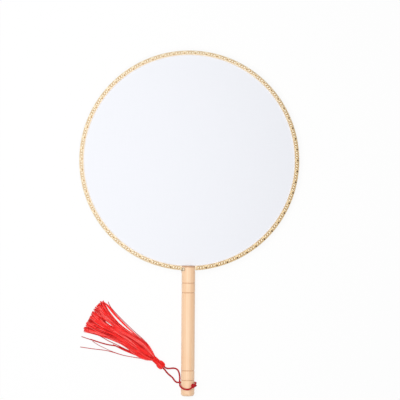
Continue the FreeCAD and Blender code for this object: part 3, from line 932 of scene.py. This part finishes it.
def lap_spot(share, down):
    """The place and slant of a figure on the flap, with the ribbon's width as its first axis."""
    middle = on_lap(share, down, LAP_THICK)
    away = Vector((middle.x, 0, middle.z - AXIS_Z)).normalized()
    across = Vector((0, 1, 0))
    axes = Matrix((across, away.cross(across), away)).transposed().to_4x4()
    return Matrix.Translation(middle) @ axes @ Matrix.Rotation(SLANT, 4, "Z")


def lap_ring(spot):
    """The same slanted oval as on the braid."""
    return [spot @ Vector((point.y, point.x, 0)) for point in ring_oval()]


lap_tones = colour(108, 72, 42), colour(164, 120, 82)
lap_brown = raised_finish("brown lap thread", lap_tones, lap_tones, 0.1)
lap_light = colour(246, 214, 176), colour(255, 234, 206)
lap_pale = raised_finish("pale lap ground", lap_light, lap_light, 0.0)
lap = add_piece("braid_lap", lap_ground(), lap_pale, creased=True)
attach(lap, "fan")
lap_spots = [lap_spot(*place) for place in LAP_RINGS]
cushions("braid_lap_cushions", lap_spots, CUSHION_ALONG, CUSHION_ACROSS, cushion_gold)
lap_ring_mesh = threads(
    "lap_rings", [lap_ring(spot) for spot in lap_spots], RING_THREAD, kind="POLY", closed=True,
)
lap_rings = add_piece("braid_lap_rings", lap_ring_mesh, lap_brown)
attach(lap_rings, "fan")

# %% [markdown]
# ## Tassel
# A tassel is one hank of thread, folded over the cord, tied below the fold so that a round head forms,
# and cut level. Each part is drawn from threads: meridians over the head, a tight winding on the neck,
# and a skirt of a few hundred threads that spread from the neck and lie on the table.

# %% Tassel finish
TASSEL_DEEP = colour(184, 2, 8)
TASSEL_MID = colour(255, 41, 37)
TASSEL_LIGHT = colour(255, 150, 146)
# A thread turns from deep to middle red over the first range of shades, and to light over the second
DEEP_SHADES, LIGHT_SHADES = (0.05, 0.3), (0.6, 1.0)
LIGHT_SHARE, FILAMENT_SHARE = 0.72, 0.08
FILAMENTS = (1500, 1500, 1500)
FILAMENT_DEPTH = 0.05 * MM
# A painted red glow, which stands in for light that has gone through neighbouring threads
PAINTED_RED_GLOW = 0.05


def tassel_finish():
    """Silky thread: each has its own red, and fine filaments run along it."""
    finish = Finish("red tassel thread", {"Roughness": 0.38, "Specular IOR Level": 0.12})
    # Painted glow: a faint red emission in place of light scattered through the threads
    finish.set("Emission Color", (1.0, 0.0, 0.0, 1.0))
    finish.set("Emission Strength", PAINTED_RED_GLOW)
    shade = finish.node("ShaderNodeAttribute", {"attribute_name": "shade"}, {}, "Fac")
    filament = finish.noise(FILAMENTS, detail=3.0)
    deep_or_mid = finish.mix(shade.rise(*DEEP_SHADES), TASSEL_DEEP, TASSEL_MID)
    light = shade.rise(*LIGHT_SHADES) * LIGHT_SHARE + filament * FILAMENT_SHARE
    finish.set("Base Color", finish.mix(light, deep_or_mid, TASSEL_LIGHT))
    finish.bump(filament, FILAMENT_DEPTH)
    return finish


tassel_red = tassel_finish()

# %% [markdown]
# The head is the fold itself. A ball with a bump would be quicker to make, but threads show at the edge of
# a ball more than anywhere else. So real threads run over a smooth core, which keeps the light from coming
# through between them.

# %% Tassel head
HEAD_CENTRE = Vector((-25.25, -131.48, 3.5)) * MM
TO_CORD = Vector((0.7373, -0.6756, 0.0))
HEAD_UP = Vector((0, 0, 1))
HEAD_SIDE = TO_CORD.cross(HEAD_UP)
MERIDIANS = 36
MERIDIAN_THREAD = 0.33 * MM
MERIDIAN_SHIFT, MERIDIAN_LEAN = 0.15, 0.08
MERIDIAN_SHADES = (0.0, 0.75)
HEAD_FLAT = 1.14
HEAD_STEPS = 24
# Places along the head's axis and distances from it, in millimetres, from the cord to the neck
HEAD_PROFILE = [
    (3.4, 0.3), (3.65, 1.2), (2.9, 2.6), (0.8, 3.15), (-1.4, 3.1), (-3.0, 2.2), (-4.2, 1.7), (-9.0, 1.5),
]


def about_head(along, radius, turn):
    """A point by its place along the tassel head's axis, its distance from it and its turn about it."""
    spoke = HEAD_UP * math.cos(turn) + HEAD_SIDE * math.sin(turn) * HEAD_FLAT
    return HEAD_CENTRE + (TO_CORD * along + spoke * radius) * MM


def head_core():
    """The smooth core under the threads, so that no light comes through between them."""
    form = bmesh.new()
    line = [form.verts.new(about_head(along, radius, 0)) for along, radius in HEAD_PROFILE]
    edges = [form.edges.new(pair) for pair in zip(line, line[1:])]
    bmesh.ops.spin(
        form, geom=line + edges, cent=HEAD_CENTRE, axis=TO_CORD, angle=2 * math.pi, steps=HEAD_STEPS,
        use_merge=True,
    )
    bmesh.ops.holes_fill(form, edges=[edge for edge in form.edges if edge.is_boundary])
    bmesh.ops.recalc_face_normals(form, faces=form.faces)
    # A new layer is 0 everywhere, so the core is deep red
    form.verts.layers.float.new("shade")
    return form_mesh("head_core", form)


def meridian_lines():
    """Threads over the head from the cord to the neck, each leaning a little."""
    lines = []
    for index in range(MERIDIANS):
        turn = 2 * math.pi * (index + draw.uniform(-MERIDIAN_SHIFT, MERIDIAN_SHIFT)) / MERIDIANS
        lean = draw.uniform(-MERIDIAN_LEAN, MERIDIAN_LEAN)
        lines.append([
            about_head(along, radius, turn + lean * step)
            for step, (along, radius) in enumerate(HEAD_PROFILE)
        ])
    return lines


head_mesh = join_meshes("tassel_knob", [
    head_core(), threads("meridians", meridian_lines(), MERIDIAN_THREAD, shades=MERIDIAN_SHADES),
])
head = add_piece("tassel_knob", head_mesh, tassel_red)
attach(head, "tassel")
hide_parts("tassel_head")

# %% [markdown]
# The neck is wound tight with the same thread. A stack of rings would look much the same from far away,
# but one helix is as short to write, and its thread climbs from turn to turn as the real one does.

# %% Neck winding
WINDING_TURNS = 6
WINDING_THREAD = 0.36 * MM
WINDING_RADIUS = 2.2
WINDING_START, WINDING_END = -3.6, -8.2
WINDING_STEPS = 20
WINDING_SHADES = (0.2, 0.4)


def winding_line():
    """An even helix round the neck."""
    count = WINDING_TURNS * WINDING_STEPS
    return [
        about_head(
            WINDING_START + (WINDING_END - WINDING_START) * index / count,
            WINDING_RADIUS, 2 * math.pi * index / WINDING_STEPS,
        )
        for index in range(count + 1)
    ]


winding_mesh = threads(
    "neck_winding", [winding_line()], WINDING_THREAD, kind="POLY", sides=1, shades=WINDING_SHADES,
)
winding = add_piece("neck_winding", winding_mesh, tassel_red)
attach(winding, "tassel")
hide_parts("neck_binding")

# %% [markdown]
# The skirt is measured by stations along its axis: how far its two edges lie across it, and how high it
# is. A thread keeps its place between the edges from station to station, but wanders across and dives
# under its neighbours on the way. At the cut the threads lie in locks again, each cut a little apart.

# %% Skirt stations
SKIRT_ROOT = Vector((-31.98, -125.09, 0)) * MM
SKIRT_ANGLE = math.radians(144.8)
SKIRT_ALONG = Vector((math.cos(SKIRT_ANGLE), math.sin(SKIRT_ANGLE), 0))
SKIRT_ACROSS = Vector((-math.sin(SKIRT_ANGLE), math.cos(SKIRT_ANGLE), 0))
# Along the axis, upper edge, lower edge, underside and top, in millimetres, and how loose the threads are
SKIRT_STATIONS = [
    (-1.5, -1.6, 2.2, 2.2, 4.9, 0.0),
    (5.0, -5.2, 6.6, 0.7, 6.4, 0.5),
    (14.0, -8.3, 7.9, 0.35, 6.6, 1.0),
    (28.0, -6.9, 6.4, 0.31, 6.0, 1.0),
    (42.0, -6.6, 8.9, 0.31, 5.0, 1.0),
    (54.0, -9.2, 12.5, 0.31, 4.0, 1.0),
    (63.0, -12.4, 16.4, 0.31, 3.2, 0.8),
    (70.4, -15.8, 17.8, 0.31, 2.5, 0.25),
]
# How far the cut is short of the last station, from the upper edge to the lower edge
SKIRT_CUT = [(-1.0, 1.1), (-0.8, 1.0), (-0.42, 0.0), (0.05, 1.0), (0.45, 2.0), (0.85, 3.1), (1.0, 4.2)]
LOCKS = 28
THREADS_PER_LOCK = 14
# How far a lock's threads reach into its neighbours, where 1 is not at all
LOCK_OVERLAP = 1.3
# How far a lock's cut is before or behind its neighbour's, and a thread's, in millimetres
LOCK_CUT = (0.36, 0.9)
THREAD_CUT = 0.55
SKIRT_THREAD = 0.3 * MM
THREAD_WIDTHS = [0.7, 1, 1, 1, 1, 1, 1, 0.85]
# How far a thread wanders, as a share of half the skirt's width, and dives, as a share of its height
WANDER = 0.085
DIVE = 0.42
# A thread wanders no further out than this share of half the width
OUTERMOST = 1.04
# How high the skirt's edges are, as a share of its middle
EDGE_HEIGHT = 0.45
# A small parting shows the table through the skirt: its station, and in millimetres the rest of it
PARTING_STATION = 5
PARTING_ACROSS = -1.7
PARTING_PUSH = 1.5
PARTING_REACH = 2.2


def on_skirt(along, across, height):
    """A point by its place along the skirt's axis and across it, and its height over the table."""
    return SKIRT_ROOT + (SKIRT_ALONG * along + SKIRT_ACROSS * across) * MM + Vector((0, 0, height * MM))


def cut_at(place):
    """How short a thread is cut, by its place between the edges."""
    for (left, short), (right, long) in zip(SKIRT_CUT, SKIRT_CUT[1:]):
        if place <= right:
            return short + (long - short) * (place - left) / (right - left)
    return SKIRT_CUT[-1][1]


def parted(across):
    """Push a thread aside from the parting."""
    off = across - PARTING_ACROSS
    return across + math.copysign(PARTING_PUSH, off) * math.exp(-(off / PARTING_REACH) ** 2)


def skirt_thread(place, layer, lock_cut):
    """One thread, from its place between the edges, -1 to 1, and its layer, 0 to 1."""
    arch = EDGE_HEIGHT + (1 - EDGE_HEIGHT) * math.sqrt(1 - place * place)
    line = []
    for index, (along, upper, lower, underside, top, loose) in enumerate(SKIRT_STATIONS):
        at = place + draw.gauss(0, WANDER) * loose
        at = max(-OUTERMOST, min(OUTERMOST, at))
        across = (upper + lower) / 2 + at * (lower - upper) / 2
        if index == PARTING_STATION:
            across = parted(across)
        over = max(0, min(1, layer + draw.gauss(0, DIVE)))
        height = underside + over * (top - underside) * arch
        if index == len(SKIRT_STATIONS) - 1:
            along -= cut_at(place) + lock_cut + draw.uniform(-THREAD_CUT, THREAD_CUT)
        line.append(on_skirt(along, across, height))
    return line


def skirt_lines():
    """All threads of the skirt, lock by lock from its upper to its lower edge."""
    lines = []
    for lock in range(LOCKS):
        centre = -1 + 2 * (lock + 0.5) / LOCKS
        lock_cut = draw.uniform(*LOCK_CUT) * (-1) ** lock
        for strand in range(THREADS_PER_LOCK):
            place = centre + draw.uniform(-LOCK_OVERLAP, LOCK_OVERLAP) / LOCKS
            layer = (strand + draw.random()) / THREADS_PER_LOCK
            lines.append(skirt_thread(max(-1, min(1, place)), layer, lock_cut))
    return lines


print(f"skirt: {LOCKS * THREADS_PER_LOCK} threads through {len(SKIRT_STATIONS)} stations")

# %% [markdown]
# A few threads have slipped out of the skirt, and two thin locks of them lie beside it. A formula would
# spread them too evenly, so each follows a handful of listed places, and comes down to the table
# at its tip. All threads of the skirt are then joined into one piece.

# %% Stray threads
# Loose threads beside the skirt: the radius of each and its places on the table, in millimetres
STRAYS = [
    (0.38, [(-41.5, -125.6), (-49.1, -121.9), (-55.1, -119.1), (-61.3, -116.7), (-66.0, -114.6),
            (-75.0, -113.6), (-86.3, -110.2), (-98.9, -106.0)]),
    (0.36, [(-41.3, -125.3), (-48.9, -121.5), (-55.0, -118.6), (-61.4, -116.2), (-66.4, -114.3),
            (-75.2, -113.0), (-84.0, -110.5), (-90.5, -108.3)]),
    (0.34, [(-38.5, -126.4), (-44.5, -125.6), (-55.1, -124.0), (-61.2, -122.8), (-70.4, -120.0),
            (-77.2, -118.4), (-88.5, -117.4), (-99.9, -115.7)]),
    (0.26, [(-38.5, -126.3), (-44.5, -125.5), (-55.1, -123.9), (-61.6, -122.6), (-71.9, -119.1),
            (-77.9, -116.2), (-84.0, -113.5), (-88.6, -110.2)]),
    (0.36, [(-40.0, -125.2), (-48.9, -121.3), (-55.0, -118.6), (-61.3, -115.7), (-65.8, -113.4),
            (-73.4, -110.1), (-78.0, -107.4), (-84.8, -103.7), (-95.0, -100.7)]),
    (0.34, [(-36.9, -113.0), (-41.5, -108.0), (-50.0, -100.8), (-57.6, -93.6), (-63.7, -87.6),
            (-68.5, -82.6), (-73.0, -77.4), (-74.4, -73.5)]),
]
# Two loose locks, each by the lines of its two sides, its number of threads and their shades
LOOSE_LOCKS = [
    (
        [(-37.6, -114.0), (-42.5, -108.9), (-50.7, -102.4), (-57.9, -96.5), (-65.2, -89.4), (-71.2, -83.4),
         (-78.9, -73.0)],
        [(-37.2, -113.4), (-41.9, -108.5), (-50.4, -101.8), (-57.5, -95.0), (-64.8, -87.4), (-69.5, -82.2),
         (-73.8, -76.8)],
        5, (0.3, 1.0),
    ),
    (
        [(-46.5, -122.8), (-52.0, -120.5), (-57.5, -118.2), (-62.0, -116.2), (-66.5, -114.2),
         (-69.6, -113.2)],
        [(-46.9, -123.6), (-52.5, -121.5), (-57.9, -119.4), (-62.3, -117.4), (-66.3, -115.2),
         (-69.2, -113.7)],
        4, (0.0, 0.3),
    ),
]
STRAY_ROOT = (-31.5, -125.5, 3.5)
# How high a stray's tip is, and how far the thread comes down to it, in millimetres
STRAY_TIP, STRAY_DROP = 0.4, 2.6
STRAY_SHADES = (0.0, 0.1)
STRAY_STEPS = 4
# Where a thread may lie in its share of a loose lock
LOCK_ROOM = (0.2, 0.8)


def stray_line(places):
    """A loose thread from the neck that comes down to the table at its tip."""
    line = [Vector(STRAY_ROOT) * MM]
    for index, (across, along) in enumerate(places):
        height = STRAY_DROP * (1 - index / (len(places) - 1)) + STRAY_TIP
        line.append(Vector((across, along, height)) * MM)
    return line


def lock_lines(one, other, count):
    """Threads spread from one side of a loose lock to the other."""
    lines = []
    for thread in range(count):
        share = (thread + draw.uniform(*LOCK_ROOM)) / count
        lines.append(stray_line([Vector(a).lerp(Vector(b), share) for a, b in zip(one, other)]))
    return lines


skirt_mesh = join_meshes("tassel_threads", [
    threads("skirt", skirt_lines(), SKIRT_THREAD, widths=THREAD_WIDTHS),
    *(
        threads("stray", [stray_line(places)], radius * MM, steps=STRAY_STEPS, shades=STRAY_SHADES)
        for radius, places in STRAYS
    ),
    *(
        threads("lock", lock_lines(one, other, count), SKIRT_THREAD, steps=STRAY_STEPS, shades=shades)
        for one, other, count, shades in LOOSE_LOCKS
    ),
])
skirt = add_piece("tassel_threads", skirt_mesh, tassel_red)
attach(skirt, "tassel")
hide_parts("tassel_skirt")

# %% [markdown]
# ## Stage
# The fan lies on a white table. The table is white to the camera by Light Path, not by more light, and
# keeps a share of its own shading so that the fan's shadow stays.

# %% Floor
FLOOR_SIZE = 3.0
FLOOR_DROP = 0.05 * MM
FLOOR_WHITE_SHARE = 0.9


def floor_finish():
    """A pale table that the camera sees as white, with a share of its shading left."""
    finish = Finish("white table", {"Base Color": (0.96, 0.96, 0.96, 1), "Roughness": 0.9})
    finish.set("Specular IOR Level", 0.1)
    seen, glossy, through = (
        finish.node("ShaderNodeLightPath", {}, {}, f"Is {kind} Ray")
        for kind in ("Camera", "Glossy", "Transmission")
    )
    seen = seen.maths("MAXIMUM", seen, glossy)
    seen = seen.maths("MAXIMUM", seen, through)
    white = finish.node("ShaderNodeEmission", {}, {"Color": (1, 1, 1, 1), "Strength": 1.0})
    shaded = Value(finish, finish.shader.outputs[0])
    mixed = finish.node("ShaderNodeMixShader", {}, {0: seen * FLOOR_WHITE_SHARE, 1: shaded, 2: white})
    finish.feed(finish.tree.nodes["Material Output"].inputs["Surface"], mixed)
    return finish


def make_floor():
    """The table, just under the fan."""
    form = bmesh.new()
    bmesh.ops.create_grid(
        form, x_segments=1, y_segments=1, size=FLOOR_SIZE, matrix=Matrix.Translation((0, 0, -FLOOR_DROP)),
    )
    mesh = form_mesh("floor", form)
    floor = bpy.data.objects.new("floor", mesh)
    mesh.materials.append(floor_finish().material)
    scene.collection.objects.link(floor)


make_floor()

# %% [markdown]
# An even sky fills the shadows, and one soft lamp gives them their direction. The lamp hangs left of the
# fan's middle and is longer than the fan, so that the handle is as bright as the face. A small lamp would
# draw hard shadows, and a short one would leave the handle's end dark.

# %% Light
SKY = 0.46
KEY_PLACE = Vector((-0.14, 0.06, 0.62))
KEY_SIZE = (0.44, 0.8)
KEY_POWER = 3.12


def make_world():
    """Even light from all round, which the camera itself sees as white."""
    world = bpy.data.worlds.new("studio")
    world.use_nodes = True
    background = world.node_tree.nodes["Background"]
    background.inputs["Color"].default_value = (1, 1, 1, 1)
    path = world.node_tree.nodes.new("ShaderNodeLightPath")
    strength = world.node_tree.nodes.new("ShaderNodeMapRange")
    strength.inputs["To Min"].default_value = SKY
    strength.inputs["To Max"].default_value = 1.0
    world.node_tree.links.new(path.outputs["Is Camera Ray"], strength.inputs["Value"])
    world.node_tree.links.new(strength.outputs["Result"], background.inputs["Strength"])
    scene.world = world


def make_lamp(name, place, size, power):
    """A soft lamp that looks straight down, by its size along X and Y in metres."""
    lamp = bpy.data.lights.new(name, "AREA")
    lamp.shape = "RECTANGLE"
    lamp.size, lamp.size_y = size
    lamp.energy = power
    holder = bpy.data.objects.new(name, lamp)
    holder.location = place
    scene.collection.objects.link(holder)


make_world()
make_lamp("key", KEY_PLACE, KEY_SIZE, KEY_POWER)
scene.view_settings.view_transform = "Standard"
print("stage ready")
